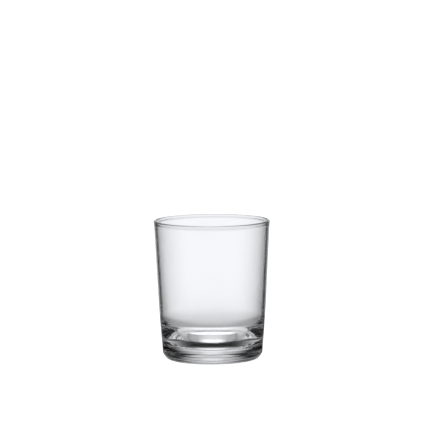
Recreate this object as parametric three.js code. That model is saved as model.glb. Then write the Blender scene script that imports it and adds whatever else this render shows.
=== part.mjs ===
// Liqueur glass: a small straight-sided tumbler with a thick base, pressed from one gob of
// clear soda-lime glass. It is one continuous piece, so the group holds one mesh.
// Millimetres, +Z up, origin at the centre of the foot on the table.
import * as THREE from "three";

// Outside: a straight wall, given by its line's diameters at the rim and at the table, and a foot that
// leans in a little more below a soft bend
const HEIGHT = 60;
const RIM_DIAMETER = 49.9;
const TABLE_DIAMETER = 43.45;
const FOOT_BEND_HEIGHT = 22;
const FOOT_BEND_TURN = THREE.MathUtils.degToRad(1.48);
const FOOT_BEND_RADIUS = 200;
const HEEL_RADIUS = 4.1;

// Rim: a fire-polished bead, a little thicker than the wall that it closes, mostly to the inside
const WALL_AT_RIM = 1.3;
const BEAD_PROUD_OUTSIDE = 0.1;
const BEAD_PROUD_INSIDE = 0.25;
const BEAD_NECK_RADIUS = 4;

// Inside: a straight wall, then the plunger's nose, in three rounds: a shoulder, a nearly straight slope and
// a corner, down to a floor with a slight crown. The wall at the floor is what the straight would leave
// there if it went on down.
const WALL_AT_FLOOR = 1.35;
const SHOULDER_RADIUS = 15.2;
const SHOULDER_TURN = THREE.MathUtils.degToRad(21);
const SLOPE_RADIUS = 45;
const SLOPE_TURN = THREE.MathUtils.degToRad(5.4);
const FLOOR_CORNER_RADIUS = 9.6;
const FLOOR_CROWN_RADIUS = 110;
const BASE_THICKNESS = 6;

// Underside: a flat ring to stand on, round a shallow dome
const STAND_RING_WIDTH = 3.9;
const DOME_RISE = 0.55;

// Facets
const TURN_STEPS = 64;
const ARC_STEP = THREE.MathUtils.degToRad(18);
const LEAST_ARC_STEPS = 4;

// A straight wall in the half section, through one point at a slope, as the radius at each height.
function straightWall(throughZ, throughRadius, slope) {
  return {
    lean: Math.atan(slope),
    radiusAt: (z) => throughRadius + slope * (z - throughZ),
    insideAt(z, distance) {
      return this.radiusAt(z) - distance / Math.cos(this.lean);
    },
    // Height, on a line held at this distance inside the wall, of the upper point that is `reach`
    // from a point on the axis.
    heightInside(distance, axisZ, reach) {
      const radiusAtAxisZ = this.insideAt(axisZ, distance);
      const a = 1 + slope * slope;
      const b = radiusAtAxisZ * slope;
      const c = radiusAtAxisZ * radiusAtAxisZ - reach * reach;
      return axisZ + (-b + Math.sqrt(b * b - a * c)) / a;
    },
  };
}

const outside = straightWall(0, TABLE_DIAMETER / 2, (RIM_DIAMETER - TABLE_DIAMETER) / 2 / HEIGHT);
const inside = straightWall(
  BASE_THICKNESS,
  outside.radiusAt(BASE_THICKNESS) - WALL_AT_FLOOR,
  Math.tan(outside.lean) + (WALL_AT_FLOOR - WALL_AT_RIM) / (HEIGHT - BASE_THICKNESS),
);
const foot = straightWall(
  FOOT_BEND_HEIGHT,
  outside.radiusAt(FOOT_BEND_HEIGHT),
  Math.tan(outside.lean + FOOT_BEND_TURN),
);

// The bend: a wide round from the foot's line into the wall's.
const bendTop = FOOT_BEND_HEIGHT + FOOT_BEND_RADIUS * Math.tan(FOOT_BEND_TURN / 2) * Math.cos(outside.lean);
const bend = {
  radius: FOOT_BEND_RADIUS,
  z: bendTop + FOOT_BEND_RADIUS * Math.sin(outside.lean),
  r: outside.radiusAt(bendTop) - FOOT_BEND_RADIUS * Math.cos(outside.lean),
};

// Heel: one round from the stand ring up into the foot.
const heel = {
  radius: HEEL_RADIUS,
  z: HEEL_RADIUS,
  r: foot.insideAt(HEEL_RADIUS, HEEL_RADIUS),
};

// Dome under the base: a cap of a sphere inside the stand ring.
const domeEdge = heel.r - STAND_RING_WIDTH;
const domeRadius = (domeEdge ** 2 + DOME_RISE ** 2) / (2 * DOME_RISE);
const dome = { radius: domeRadius, z: DOME_RISE - domeRadius, r: 0 };

// Rim bead: a full round over the wall's top edge, with a hollow neck on each side.
const beadRadius = (WALL_AT_RIM + BEAD_PROUD_OUTSIDE + BEAD_PROUD_INSIDE) / 2;
const beadZ = HEIGHT - beadRadius;
const bead = {
  radius: beadRadius,
  z: beadZ,
  r: outside.radiusAt(beadZ) + BEAD_PROUD_OUTSIDE - beadRadius,
};

// The round that fills the corner between a wall and the bead. Side is 1 outside the wall, -1 inside.
function neckOn(wall, side) {
  const fromWall = side * (wall.radiusAt(bead.z) - bead.r) * Math.cos(wall.lean);
  const across = BEAD_NECK_RADIUS + fromWall;
  const along = Math.sqrt((BEAD_NECK_RADIUS + bead.radius) ** 2 - across ** 2);
  return {
    radius: BEAD_NECK_RADIUS,
    r: bead.r + side * across * Math.cos(wall.lean) - along * Math.sin(wall.lean),
    z: bead.z - side * across * Math.sin(wall.lean) - along * Math.cos(wall.lean),
  };
}
const outerNeck = neckOn(outside, 1);
const innerNeck = neckOn(inside, -1);

// Floor of the bowl: a slight crown, highest on the axis, as the plunger leaves it.
const floor = { radius: FLOOR_CROWN_RADIUS, z: BASE_THICKNESS - FLOOR_CROWN_RADIUS, r: 0 };

// Angles at which the shoulder runs into the slope, and the slope into the corner.
const slopeStart = -inside.lean - SHOULDER_TURN;
const cornerStart = slopeStart - SLOPE_TURN;

// The corner rises from the floor, held off the wall by what the shoulder and the slope take.
const cornerInset =
  SHOULDER_RADIUS +
  (SLOPE_RADIUS - SHOULDER_RADIUS) * Math.cos(SHOULDER_TURN) -
  (SLOPE_RADIUS - FLOOR_CORNER_RADIUS) * Math.cos(SHOULDER_TURN + SLOPE_TURN);
const cornerZ = inside.heightInside(cornerInset, floor.z, FLOOR_CROWN_RADIUS + FLOOR_CORNER_RADIUS);
const corner = {
  radius: FLOOR_CORNER_RADIUS,
  z: cornerZ,
  r: inside.insideAt(cornerZ, cornerInset),
};

// The round before another in a row: they touch at one angle, so that angle joins their centres.
const roundBefore = (next, radius, angle) => ({
  radius,
  z: next.z - (radius - next.radius) * Math.sin(angle),
  r: next.r - (radius - next.radius) * Math.cos(angle),
});
const slope = roundBefore(corner, SLOPE_RADIUS, cornerStart);
const shoulder = roundBefore(slope, SHOULDER_RADIUS, slopeStart);

const angleTo = (from, to) => Math.atan2(to.z - from.z, to.r - from.r);
const DOWN = -Math.PI / 2;
const UP = Math.PI / 2;

// The half section, from the axis under the base, round the outside and back to the axis in the bowl.
function halfSection() {
  const domeRimAngle = angleTo(dome, { r: domeEdge, z: 0 });
  const outerNeckTop = angleTo(outerNeck, bead);
  const innerNeckTop = angleTo(innerNeck, bead);
  const cornerFoot = angleTo(corner, floor);
  const path = new THREE.Path();
  path.absarc(dome.r, dome.z, dome.radius, UP, domeRimAngle, true);
  path.absarc(heel.r, heel.z, heel.radius, DOWN, -foot.lean, false);
  path.absarc(bend.r, bend.z, bend.radius, -foot.lean, -outside.lean, false);
  path.absarc(outerNeck.r, outerNeck.z, outerNeck.radius, Math.PI - outside.lean, outerNeckTop, true);
  path.absarc(bead.r, bead.z, bead.radius, outerNeckTop - Math.PI, innerNeckTop + Math.PI, false);
  path.absarc(innerNeck.r, innerNeck.z, innerNeck.radius, innerNeckTop, -inside.lean, true);
  path.absarc(shoulder.r, shoulder.z, shoulder.radius, -inside.lean, slopeStart, true);
  path.absarc(slope.r, slope.z, slope.radius, slopeStart, cornerStart, true);
  path.absarc(corner.r, corner.z, corner.radius, cornerStart, cornerFoot, true);
  path.absarc(floor.r, floor.z, floor.radius, angleTo(floor, corner), UP, false);
  return path;
}

// Points along the section: the ends of each straight, and each arc in steps of about one angle.
function pointsAlong(path) {
  const points = [];
  for (const curve of path.curves) {
    const turn = curve.isEllipseCurve ? Math.abs(curve.aEndAngle - curve.aStartAngle) : 0;
    const steps = turn ? Math.max(LEAST_ARC_STEPS, Math.ceil(turn / ARC_STEP)) : 1;
    const stretch = curve.getPoints(steps);
    points.push(...(points.length ? stretch.slice(1) : stretch));
  }
  // The section starts and ends exactly on the axis.
  points[0].x = 0;
  points[points.length - 1].x = 0;
  return points;
}

function glassBody() {
  const geometry = new THREE.LatheGeometry(pointsAlong(halfSection()), TURN_STEPS);
  geometry.rotateX(Math.PI / 2);
  const clearGlass = new THREE.MeshStandardMaterial({
    color: 0xeef2f2,
    roughness: 0.03,
    metalness: 0,
    transparent: true,
    opacity: 0.35,
  });
  const mesh = new THREE.Mesh(geometry, clearGlass);
  mesh.name = "glass_body";
  return mesh;
}

const liqueurGlass = new THREE.Group();
liqueurGlass.add(glassBody());

export default liqueurGlass;
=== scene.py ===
import math

import bmesh
import bpy
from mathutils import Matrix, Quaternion, Vector


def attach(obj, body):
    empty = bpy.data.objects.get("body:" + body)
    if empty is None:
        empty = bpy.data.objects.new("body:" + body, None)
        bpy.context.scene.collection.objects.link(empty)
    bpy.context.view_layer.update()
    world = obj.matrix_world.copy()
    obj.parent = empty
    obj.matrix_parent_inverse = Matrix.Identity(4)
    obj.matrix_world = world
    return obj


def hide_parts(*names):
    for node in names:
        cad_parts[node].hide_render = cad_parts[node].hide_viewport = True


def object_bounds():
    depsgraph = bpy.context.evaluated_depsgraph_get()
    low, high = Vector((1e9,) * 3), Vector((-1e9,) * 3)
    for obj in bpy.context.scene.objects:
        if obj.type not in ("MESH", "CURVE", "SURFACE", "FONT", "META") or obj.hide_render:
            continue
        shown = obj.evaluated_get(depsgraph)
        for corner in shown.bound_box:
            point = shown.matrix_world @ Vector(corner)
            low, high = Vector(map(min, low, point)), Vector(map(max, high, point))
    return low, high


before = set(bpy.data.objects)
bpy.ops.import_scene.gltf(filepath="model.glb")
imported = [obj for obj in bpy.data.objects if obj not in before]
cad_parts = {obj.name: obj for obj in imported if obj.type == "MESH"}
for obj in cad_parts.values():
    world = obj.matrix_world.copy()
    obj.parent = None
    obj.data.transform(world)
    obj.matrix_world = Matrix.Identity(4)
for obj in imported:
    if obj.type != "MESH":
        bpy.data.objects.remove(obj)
cad_low, cad_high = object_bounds()

scene = bpy.context.scene
scene.view_settings.view_transform = "Standard"

# Camera: a long lens two metres away, a little above the glass, as for a catalogue picture. The glass
# stands low in the square frame, so the lens looks over it, and the camera leans by half a degree.
CAMERA_BEARING = math.radians(225)
CAMERA_ELEVATION = math.radians(7.25)
CAMERA_DISTANCE = 2.018
CAMERA_LEAN = math.radians(0.44)
SENSOR_MM = 36
PICTURE_PIXELS = 430
GLASS_HEIGHT_PIXELS = 139.77
GLASS_CENTRE_PIXEL = (212.24, 289.4)

glass_centre = (Vector(cad_low) + Vector(cad_high)) / 2
to_camera = Vector((
    math.sin(CAMERA_BEARING) * math.cos(CAMERA_ELEVATION),
    -math.cos(CAMERA_BEARING) * math.cos(CAMERA_ELEVATION),
    math.sin(CAMERA_ELEVATION),
))
distance_pixels = CAMERA_DISTANCE * GLASS_HEIGHT_PIXELS / (cad_high[2] - cad_low[2])
centre_in_view = Vector((
    GLASS_CENTRE_PIXEL[0] - PICTURE_PIXELS / 2,
    PICTURE_PIXELS / 2 - GLASS_CENTRE_PIXEL[1],
    -distance_pixels,
)).normalized()
straight_ahead = Vector((0, 0, -1))
lean = Quaternion((0, 0, 1), -CAMERA_LEAN)
aim = (-to_camera).to_track_quat("-Z", "Y") @ lean @ centre_in_view.rotation_difference(straight_ahead)

camera_data = bpy.data.cameras.new("camera")
camera_data.sensor_width = SENSOR_MM
camera_data.lens = SENSOR_MM * -centre_in_view.z * distance_pixels / PICTURE_PIXELS
camera = bpy.data.objects.new("camera", camera_data)
camera.location = glass_centre + CAMERA_DISTANCE * to_camera
camera.rotation_mode = "QUATERNION"
camera.rotation_quaternion = aim
scene.collection.objects.link(camera)
scene.camera = camera

# Liqueur glass: one piece of clear soda-lime glass, pressed from a single gob by a plunger in a
# mould. The rim is melted round by a flame afterwards, and the foot stands on a flat ring.
MM = 0.001
HEIGHT = 60 * MM
RIM_DIAMETER = 49.9 * MM
TABLE_DIAMETER = 43.45 * MM
FOOT_BEND_HEIGHT = 22 * MM
FOOT_BEND_TURN = math.radians(1.48)
FOOT_BEND_RADIUS = 200 * MM
HEEL_RADIUS = 4.1 * MM
WALL_AT_RIM = 1.3 * MM
BEAD_PROUD_OUTSIDE = 0.1 * MM
BEAD_PROUD_INSIDE = 0.25 * MM
BEAD_NECK_RADIUS = 4 * MM
WALL_AT_FLOOR = 1.35 * MM
SHOULDER_RADIUS = 15.2 * MM
SHOULDER_TURN = math.radians(21)
SLOPE_RADIUS = 45 * MM
SLOPE_TURN = math.radians(5.4)
FLOOR_CORNER_RADIUS = 9.6 * MM
FLOOR_CROWN_RADIUS = 110 * MM
BASE_THICKNESS = 6 * MM
STAND_RING_WIDTH = 3.9 * MM
DOME_RISE = 0.55 * MM
TURN_STEPS = 384
ARC_STEP = math.radians(2.5)
LEAST_ARC_STEPS = 4
STRAIGHT_HOLD = 0.3 * MM
WELD_DISTANCE = 0.001 * MM


class Wall:
    """A straight wall in the half section: the radius that it has at each height."""

    def __init__(self, z, radius, slope):
        self.z = z
        self.radius_there = radius
        self.slope = slope
        self.lean = math.atan(slope)

    def radius(self, z, inset=0):
        return self.radius_there + self.slope * (z - self.z) - inset / math.cos(self.lean)


class Pen:
    """Draws the half section in the XZ plane by extruding and spinning its last vertex."""

    def __init__(self, mesh, r, z):
        self.mesh = mesh
        self.tip = mesh.verts.new((r, 0, z))

    def step_to(self, point):
        self.tip = bmesh.ops.extrude_vert_indiv(self.mesh, verts=[self.tip])["verts"][0]
        self.tip.co = point

    def straight_to(self, r, z):
        start = self.tip.co.copy()
        end = Vector((r, 0, z))
        hold = (end - start).normalized() * STRAIGHT_HOLD
        self.step_to(start + hold)
        self.step_to(end - hold)
        self.step_to(end)

    def arc(self, centre, turn):
        steps = max(LEAST_ARC_STEPS, math.ceil(abs(turn) / ARC_STEP))
        spun = bmesh.ops.spin(
            self.mesh, geom=[self.tip], cent=(centre[0], 0, centre[1]), axis=(0, -1, 0),
            angle=turn, steps=steps, use_merge=False,
        )
        self.tip = next(item for item in spun["geom_last"] if isinstance(item, bmesh.types.BMVert))


def angle_from(centre, point):
    return math.atan2(point[1] - centre[1], point[0] - centre[0])


def along(start, distance, angle):
    return (start[0] + distance * math.cos(angle), start[1] + distance * math.sin(angle))


outside = Wall(0, TABLE_DIAMETER / 2, (RIM_DIAMETER - TABLE_DIAMETER) / 2 / HEIGHT)
wall_thickening = (WALL_AT_FLOOR - WALL_AT_RIM) / (HEIGHT - BASE_THICKNESS)
inside = Wall(
    BASE_THICKNESS, outside.radius(BASE_THICKNESS) - WALL_AT_FLOOR, outside.slope + wall_thickening,
)
foot = Wall(
    FOOT_BEND_HEIGHT, outside.radius(FOOT_BEND_HEIGHT), math.tan(outside.lean + FOOT_BEND_TURN),
)

# Underside, heel and the soft bend above the foot
heel = (foot.radius(HEEL_RADIUS, HEEL_RADIUS), HEEL_RADIUS)
dome_edge = heel[0] - STAND_RING_WIDTH
dome_radius = (dome_edge ** 2 + DOME_RISE ** 2) / (2 * DOME_RISE)
dome = (0, DOME_RISE - dome_radius)
bend_top = FOOT_BEND_HEIGHT + FOOT_BEND_RADIUS * math.tan(FOOT_BEND_TURN / 2) * math.cos(outside.lean)
bend = along((outside.radius(bend_top), bend_top), -FOOT_BEND_RADIUS, -outside.lean)

# Rim bead and the necks that lead into it
bead_radius = (WALL_AT_RIM + BEAD_PROUD_OUTSIDE + BEAD_PROUD_INSIDE) / 2
bead_z = HEIGHT - bead_radius
bead = (outside.radius(bead_z) + BEAD_PROUD_OUTSIDE - bead_radius, bead_z)


def neck_on(wall, side):
    from_wall = side * (wall.radius(bead[1]) - bead[0]) * math.cos(wall.lean)
    across = BEAD_NECK_RADIUS + from_wall
    down = math.sqrt((BEAD_NECK_RADIUS + bead_radius) ** 2 - across ** 2)
    return (
        bead[0] + side * across * math.cos(wall.lean) - down * math.sin(wall.lean),
        bead[1] - side * across * math.sin(wall.lean) - down * math.cos(wall.lean),
    )


outer_neck = neck_on(outside, 1)
inner_neck = neck_on(inside, -1)

# Bowl: the plunger's nose in three rounds, from the wall down to a crowned floor
bowl_floor = (0, BASE_THICKNESS - FLOOR_CROWN_RADIUS)
slope_start = -inside.lean - SHOULDER_TURN
corner_start = slope_start - SLOPE_TURN
corner_inset = (
    SHOULDER_RADIUS
    + (SLOPE_RADIUS - SHOULDER_RADIUS) * math.cos(SHOULDER_TURN)
    - (SLOPE_RADIUS - FLOOR_CORNER_RADIUS) * math.cos(SHOULDER_TURN + SLOPE_TURN)
)
reach = FLOOR_CROWN_RADIUS + FLOOR_CORNER_RADIUS
radius_below = inside.radius(bowl_floor[1], corner_inset)
square = 1 + inside.slope ** 2
linear = radius_below * inside.slope
rest = radius_below ** 2 - reach ** 2
corner_z = bowl_floor[1] + (-linear + math.sqrt(linear ** 2 - square * rest)) / square
corner = (inside.radius(corner_z, corner_inset), corner_z)
slope = along(corner, FLOOR_CORNER_RADIUS - SLOPE_RADIUS, corner_start)
shoulder = along(slope, SLOPE_RADIUS - SHOULDER_RADIUS, slope_start)

# The half section, from the axis under the base round to the axis in the bowl
section = bmesh.new()
pen = Pen(section, 0, DOME_RISE)
outer_neck_top = angle_from(outer_neck, bead)
inner_neck_top = angle_from(inner_neck, bead)
pen.arc(dome, angle_from(dome, (dome_edge, 0)) - math.pi / 2)
pen.straight_to(heel[0], 0)
pen.arc(heel, math.pi / 2 - foot.lean)
pen.straight_to(*along(bend, FOOT_BEND_RADIUS, -foot.lean))
pen.arc(bend, FOOT_BEND_TURN)
pen.straight_to(*along(outer_neck, BEAD_NECK_RADIUS, math.pi - outside.lean))
pen.arc(outer_neck, outer_neck_top - (math.pi - outside.lean))
pen.arc(bead, inner_neck_top - outer_neck_top + 2 * math.pi)
pen.arc(inner_neck, -inside.lean - inner_neck_top)
pen.straight_to(*along(shoulder, SHOULDER_RADIUS, -inside.lean))
pen.arc(shoulder, -SHOULDER_TURN)
pen.arc(slope, -SLOPE_TURN)
pen.arc(corner, angle_from(corner, bowl_floor) - corner_start)
pen.arc(bowl_floor, math.pi / 2 - angle_from(bowl_floor, corner))
pen.tip.co.x = 0

bmesh.ops.spin(
    section, geom=section.verts[:] + section.edges[:], cent=(0, 0, 0), axis=(0, 0, 1),
    angle=2 * math.pi, steps=TURN_STEPS, use_merge=True,
)
bmesh.ops.remove_doubles(section, verts=section.verts[:], dist=WELD_DISTANCE)
bmesh.ops.recalc_face_normals(section, faces=section.faces[:])
for face in section.faces:
    face.smooth = True

glass_mesh = bpy.data.meshes.new("liqueur_glass")
section.to_mesh(glass_mesh)
section.free()
glass = bpy.data.objects.new("liqueur_glass", glass_mesh)
scene.collection.objects.link(glass)
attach(glass, "root")
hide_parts("glass_body")


class Wire:
    """One socket of a node tree. Sums on it add Math nodes, and `node` adds any other node."""

    def __init__(self, tree, socket=None):
        self.tree = tree
        self.socket = socket

    def node(self, kind, settings=None, sockets=None, output=0):
        made = self.tree.nodes.new(kind)
        for name, value in (settings or {}).items():
            setattr(made, name, value)
        for name, value in (sockets or {}).items():
            if isinstance(value, Wire):
                self.tree.links.new(value.socket, made.inputs[name])
            else:
                made.inputs[name].default_value = value
        return Wire(self.tree, made.outputs[output]) if made.outputs else None

    def maths(self, operation, *operands):
        return self.node("ShaderNodeMath", {"operation": operation}, dict(enumerate(operands)))

    def __add__(self, other):
        return self.maths("ADD", self, other)

    def __sub__(self, other):
        return self.maths("SUBTRACT", self, other)

    def __mul__(self, other):
        return self.maths("MULTIPLY", self, other)

    def __truediv__(self, other):
        return self.maths("DIVIDE", self, other)

    def __radd__(self, other):
        return self.maths("ADD", other, self)

    def __rsub__(self, other):
        return self.maths("SUBTRACT", other, self)

    def __rmul__(self, other):
        return self.maths("MULTIPLY", other, self)

    def __rtruediv__(self, other):
        return self.maths("DIVIDE", other, self)

    def __abs__(self):
        return self.maths("ABSOLUTE", self)

    def or_more(self, other):
        return self.maths("MAXIMUM", self, other)

    def rise(self, middle, softness):
        return self.node("ShaderNodeMapRange", {"interpolation_type": "SMOOTHSTEP"}, {
            "Value": self, "From Min": middle - softness, "From Max": middle + softness,
        })

    def fall(self, middle, softness):
        return 1 - self.rise(middle, softness)

    def within(self, half, softness):
        return abs(self).fall(half, softness)

    def tinted(self, tint):
        return self.node("ShaderNodeVectorMath", {"operation": "SCALE"}, {0: tint, "Scale": self})


GLASS_IOR = 1.517
GLASS_TINT = (0.94, 0.98, 0.96, 1)
GLASS_TINT_DENSITY = 2
HAZE_PER_METRE = 120.0
HAZE_DETAIL = 4.0
HAZE_VARIATION = 0.5
NOISE_MEAN = 0.5
WALL_HAZE = 0.075
BASE_HAZE = 0.02
RIPPLES_PER_METRE = 150.0
RIPPLE_DETAIL = 1.0
RIPPLE_HEIGHT = 0.06 * MM
BASE_TOP = 14 * MM
BASE_TOP_SOFTNESS = 4 * MM

glass_material = bpy.data.materials.new("clear_glass")
glass_material.use_nodes = True
glass_tree = glass_material.node_tree
glass_tree.nodes.clear()
shade = Wire(glass_tree)
on_glass = shade.node("ShaderNodeTexCoord", output="Object")
height = shade.node("ShaderNodeSeparateXYZ", {}, {"Vector": on_glass}, output="Z")
in_base = height.fall(BASE_TOP, BASE_TOP_SOFTNESS)

# The wall keeps a faint haze from the mould. The thick base is clearer, but slightly rippled.
haze_noise = shade.node("ShaderNodeTexNoise", {}, {
    "Vector": on_glass, "Scale": HAZE_PER_METRE, "Detail": HAZE_DETAIL,
})
haze_level = WALL_HAZE + (BASE_HAZE - WALL_HAZE) * in_base
haze = (1 + HAZE_VARIATION * (haze_noise - NOISE_MEAN)) * haze_level
ripples = shade.node("ShaderNodeTexNoise", {}, {
    "Vector": on_glass, "Scale": RIPPLES_PER_METRE, "Detail": RIPPLE_DETAIL,
})
rippled = shade.node("ShaderNodeBump", {}, {"Height": ripples * in_base, "Distance": RIPPLE_HEIGHT})
surface = shade.node("ShaderNodeBsdfPrincipled", {}, {
    "Base Color": (1, 1, 1, 1),
    "Roughness": haze,
    "IOR": GLASS_IOR,
    "Transmission Weight": 1.0,
    "Normal": rippled,
})
body = shade.node("ShaderNodeVolumeAbsorption", {}, {
    "Color": GLASS_TINT, "Density": GLASS_TINT_DENSITY,
})
shade.node("ShaderNodeOutputMaterial", {}, {"Surface": surface, "Volume": body})
glass_mesh.materials.append(glass_material)

# Table: a white sheet. Its material gives off the light that lamps and the glass would throw on it,
# in a strip behind the glass, in front and under the base. Its sides are painted dark, as black cards
# would leave them, which draws the edges of the glass. The camera itself sees a plain white sheet.
TABLE_RADIUS = 25.0
TABLE_GAP = 0.02 * MM
TABLE_SIDES = 96
LIGHT_TINT = (0.992, 1.0, 1.027)
SET_TURN = math.radians(0.3)
STRIP_LEVEL = 0.97
STRIP_LEFT = 10.5 * MM
STRIP_LEFT_SPREAD = 0.37
STRIP_LEFT_SOFTNESS = 19.2 * MM
STRIP_LEFT_SOFTENING = 0.15
STRIP_RIGHT = 5.3 * MM
STRIP_RIGHT_SPREAD = 0.34
STRIP_RIGHT_SOFTNESS = 2 * MM
STRIP_RIGHT_SOFTENING = 0.27
STRIP_START = 4 * MM
FOOT_SHADE = 0.63
FOOT_SHADE_LENGTH = 66 * MM
NEAR_LEVEL = 0.38
NEAR_BEARING = math.radians(48)
NEAR_BEARING_SOFTNESS = math.radians(3)
NEAR_REACH = 67.5 * MM
NEAR_REACH_SOFTNESS = 26.6 * MM
UNDER_RADIUS = 25.7 * MM
UNDER_SOFTNESS = 2.1 * MM
BAR_LEVEL = 1.94
BAR_HALF_WIDTH = 10.8 * MM
BAR_SIDE_SOFTNESS = 6 * MM
BAR_BEHIND = 6.2 * MM
BAR_HALF_DEPTH = 1.7 * MM
BAR_DEPTH_SOFTNESS = 1.4 * MM
SPOT_LEVEL = 1.31
SPOT_HALF_WIDTH = 5.8 * MM
SPOT_SIDE_SOFTNESS = 4 * MM
SPOT_BEHIND = -5.4 * MM
SPOT_HALF_DEPTH = 4.9 * MM
SPOT_DEPTH_SOFTNESS = 2.2 * MM
MIDDLE_LEVEL = 0.73
MIDDLE_HALF_WIDTH = 6.8 * MM
MIDDLE_SIDE_SOFTNESS = 6 * MM
MIDDLE_RADIUS = 12 * MM
MIDDLE_SOFTNESS = 2 * MM
DISC_LEVEL = 0.36
DISC_RADIUS = 12.1 * MM
DISC_SOFTNESS = 2.5 * MM
RING_RADIUS = 13 * MM
RING_SOFTNESS = 2 * MM
RING_BACK_LEVEL = 1.07
RING_BACK_BEARING = math.radians(27.7)
RING_BACK_SOFTNESS = math.radians(14)
RING_SIDE_LEVEL = 0.79
RING_SIDE_BEARING = math.radians(95)
RING_SIDE_SOFTNESS = math.radians(50.7)
FRONT_NEAR_LEVEL = 0.2
FRONT_FAR_LEVEL = 0.85
FRONT_BEARING = math.radians(100)
FRONT_BEARING_SOFTNESS = math.radians(35)
FRONT_START = 58 * MM
FRONT_START_SOFTNESS = 14 * MM
TABLE_DARK = 0.003
TABLE_GLOW = 0.93
SHEET_COLOUR = (0.9, 0.9, 0.9, 1)

table_shape = bmesh.new()
bmesh.ops.create_circle(table_shape, cap_ends=True, radius=TABLE_RADIUS, segments=TABLE_SIDES)
bmesh.ops.translate(table_shape, verts=table_shape.verts[:], vec=(0, 0, -TABLE_GAP))
bmesh.ops.recalc_face_normals(table_shape, faces=table_shape.faces[:])
table_mesh = bpy.data.meshes.new("table")
table_shape.to_mesh(table_mesh)
table_shape.free()
table = bpy.data.objects.new("table", table_mesh)
scene.collection.objects.link(table)

table_material = bpy.data.materials.new("white_table")
table_material.use_nodes = True
table_tree = table_material.node_tree
table_tree.nodes.clear()
shade = Wire(table_tree)
on_table = shade.node("ShaderNodeTexCoord", output="Object")
set_rotation = (0, 0, SET_TURN - CAMERA_BEARING)
turned = shade.node("ShaderNodeMapping", {}, {"Vector": on_table, "Rotation": set_rotation})
to_right = shade.node("ShaderNodeSeparateXYZ", {}, {"Vector": turned}, output="X")
behind = shade.node("ShaderNodeSeparateXYZ", {}, {"Vector": turned}, output="Y")
from_axis = shade.node(
    "ShaderNodeVectorMath", {"operation": "LENGTH"}, {"Vector": turned}, output="Value",
)
bearing = shade.maths("ARCTAN2", abs(to_right), behind)

# Light under the base: a bar behind the axis and a spot before it, in a dim disc, and a ring under
# the foot, brightest at the back
bar = BAR_LEVEL * to_right.within(BAR_HALF_WIDTH, BAR_SIDE_SOFTNESS)
bar = bar * (behind - BAR_BEHIND).within(BAR_HALF_DEPTH, BAR_DEPTH_SOFTNESS)
spot = SPOT_LEVEL * to_right.within(SPOT_HALF_WIDTH, SPOT_SIDE_SOFTNESS)
spot = spot * (behind - SPOT_BEHIND).within(SPOT_HALF_DEPTH, SPOT_DEPTH_SOFTNESS)
middle = MIDDLE_LEVEL * to_right.within(MIDDLE_HALF_WIDTH, MIDDLE_SIDE_SOFTNESS)
middle = middle * from_axis.fall(MIDDLE_RADIUS, MIDDLE_SOFTNESS)
disc = DISC_LEVEL * from_axis.fall(DISC_RADIUS, DISC_SOFTNESS)
past_back = bearing.rise(RING_BACK_BEARING, RING_BACK_SOFTNESS)
past_side = bearing.rise(RING_SIDE_BEARING, RING_SIDE_SOFTNESS)
ring = RING_BACK_LEVEL * (1 - past_back) + RING_SIDE_LEVEL * past_back * (1 - past_side)
ring = ring * from_axis.rise(RING_RADIUS, RING_SOFTNESS)
under_glass = bar.or_more(spot).or_more(middle).or_more(disc).or_more(ring)

# Light around the glass: the strip behind it, dim near the foot, and the front, brighter far out
going_back = behind.or_more(0)
right_edge = STRIP_RIGHT + STRIP_RIGHT_SPREAD * going_back
right_softness = STRIP_RIGHT_SOFTNESS + STRIP_RIGHT_SOFTENING * going_back
left_edge = STRIP_LEFT + STRIP_LEFT_SPREAD * going_back
left_softness = STRIP_LEFT_SOFTNESS + STRIP_LEFT_SOFTENING * going_back
past_foot = (from_axis - UNDER_RADIUS).or_more(0)
foot_shade = FOOT_SHADE * shade.maths("EXPONENT", past_foot * (-1 / FOOT_SHADE_LENGTH))
strip = STRIP_LEVEL * (1 - foot_shade) * behind.rise(STRIP_START, STRIP_START)
strip = strip * to_right.fall(right_edge, right_softness)
strip = strip * (0 - to_right).fall(left_edge, left_softness)
near_foot = NEAR_LEVEL * bearing.fall(NEAR_BEARING, NEAR_BEARING_SOFTNESS)
near_foot = near_foot * from_axis.fall(NEAR_REACH, NEAR_REACH_SOFTNESS)
far_out = from_axis.rise(FRONT_START, FRONT_START_SOFTNESS)
front_level = FRONT_NEAR_LEVEL + (FRONT_FAR_LEVEL - FRONT_NEAR_LEVEL) * far_out
front = front_level * bearing.rise(FRONT_BEARING, FRONT_BEARING_SOFTNESS)
around_glass = strip.or_more(near_foot).or_more(front)

outside_foot = from_axis.rise(UNDER_RADIUS, UNDER_SOFTNESS)
lit_level = under_glass * (1 - outside_foot) + around_glass * outside_foot + TABLE_DARK
lit_table = shade.node("ShaderNodeEmission", {}, {"Color": lit_level.tinted(LIGHT_TINT)})
glow = shade.node("ShaderNodeEmission", {}, {"Strength": TABLE_GLOW})
sheet = shade.node("ShaderNodeBsdfDiffuse", {}, {"Color": SHEET_COLOUR})
seen_plain = shade.node("ShaderNodeAddShader", {}, {0: glow, 1: sheet})
seen_by_camera = shade.node("ShaderNodeLightPath", output="Is Camera Ray")
seen = shade.node("ShaderNodeMixShader", {}, {0: seen_by_camera, 1: lit_table, 2: seen_plain})
shade.node("ShaderNodeOutputMaterial", {}, {"Surface": seen})
table_mesh.materials.append(table_material)

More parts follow.
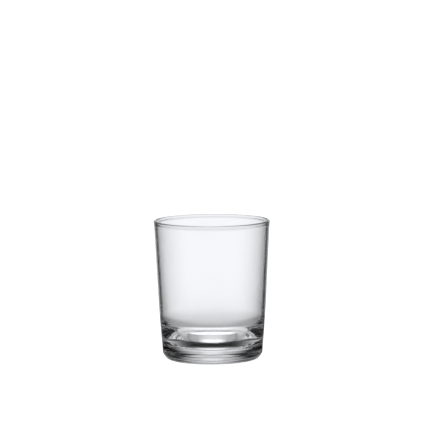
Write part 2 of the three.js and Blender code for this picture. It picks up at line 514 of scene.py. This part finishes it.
# Studio: a pale backdrop beyond the strip and a large softbox overhead. The rest of the
# room is dark. To the camera itself all of it is white, as on a cut-out picture.
BACKDROP_LEVEL = 0.55
BACKDROP_HALF_ANGLE = math.radians(22.9)
BACKDROP_SOFTNESS = math.radians(13.8)
GLARE_LEVEL = 0.81
GLARE_HALF_ANGLE = math.radians(12.6)
GLARE_SOFTNESS = math.radians(10.3)
BACKDROP_TOP = math.radians(11.9)
BACKDROP_TOP_SOFTNESS = math.radians(0.8)
SOFTBOX_LEVEL = 0.61
SOFTBOX_HALF_WIDTH = 0.83
SOFTBOX_SIDE_SOFTNESS = 0.3
SOFTBOX_NEAR = -1.19
SOFTBOX_FAR = 4.23
SOFTBOX_END_SOFTNESS = 2
ROOM_DARK = 0.003
LEAST_RISE = 0.02

studio = bpy.data.worlds.new("studio")
studio.use_nodes = True
studio_tree = studio.node_tree
studio_tree.nodes.clear()
shade = Wire(studio_tree)
direction = shade.node("ShaderNodeTexCoord", output="Generated")
turned = shade.node("ShaderNodeMapping", {}, {"Vector": direction, "Rotation": set_rotation})
across = abs(shade.node("ShaderNodeSeparateXYZ", {}, {"Vector": turned}, output="X"))
behind = shade.node("ShaderNodeSeparateXYZ", {}, {"Vector": turned}, output="Y")
up = shade.node("ShaderNodeSeparateXYZ", {}, {"Vector": turned}, output="Z")
bearing = shade.maths("ARCTAN2", across, behind)
elevation = shade.maths("ARCSINE", up)
backdrop = BACKDROP_LEVEL * bearing.fall(BACKDROP_HALF_ANGLE, BACKDROP_SOFTNESS)
glare = GLARE_LEVEL * bearing.fall(GLARE_HALF_ANGLE, GLARE_SOFTNESS)
backdrop = backdrop.or_more(glare) * elevation.fall(BACKDROP_TOP, BACKDROP_TOP_SOFTNESS)
rising = up.or_more(LEAST_RISE)
sideways = across / rising
backwards = behind / rising
softbox = SOFTBOX_LEVEL * sideways.fall(SOFTBOX_HALF_WIDTH, SOFTBOX_SIDE_SOFTNESS)
softbox = softbox * backwards.rise(SOFTBOX_NEAR, SOFTBOX_END_SOFTNESS)
softbox = softbox * backwards.fall(SOFTBOX_FAR, SOFTBOX_END_SOFTNESS)
softbox = softbox * up.rise(LEAST_RISE, LEAST_RISE)
lamps = backdrop.or_more(softbox) + ROOM_DARK
room = shade.node("ShaderNodeBackground", {}, {"Color": lamps.tinted(LIGHT_TINT)})
white = shade.node("ShaderNodeBackground", {}, {"Color": (1, 1, 1, 1)})
seen_by_camera = shade.node("ShaderNodeLightPath", output="Is Camera Ray")
seen = shade.node("ShaderNodeMixShader", {}, {0: seen_by_camera, 1: room, 2: white})
shade.node("ShaderNodeOutputWorld", {}, {"Surface": seen})
scene.world = studio

# Light passes through the glass walls many times, so rays are followed further than by default.
LIGHT_BOUNCES = 24
scene.cycles.max_bounces = LIGHT_BOUNCES
scene.cycles.transmission_bounces = LIGHT_BOUNCES
scene.cycles.glossy_bounces = LIGHT_BOUNCES
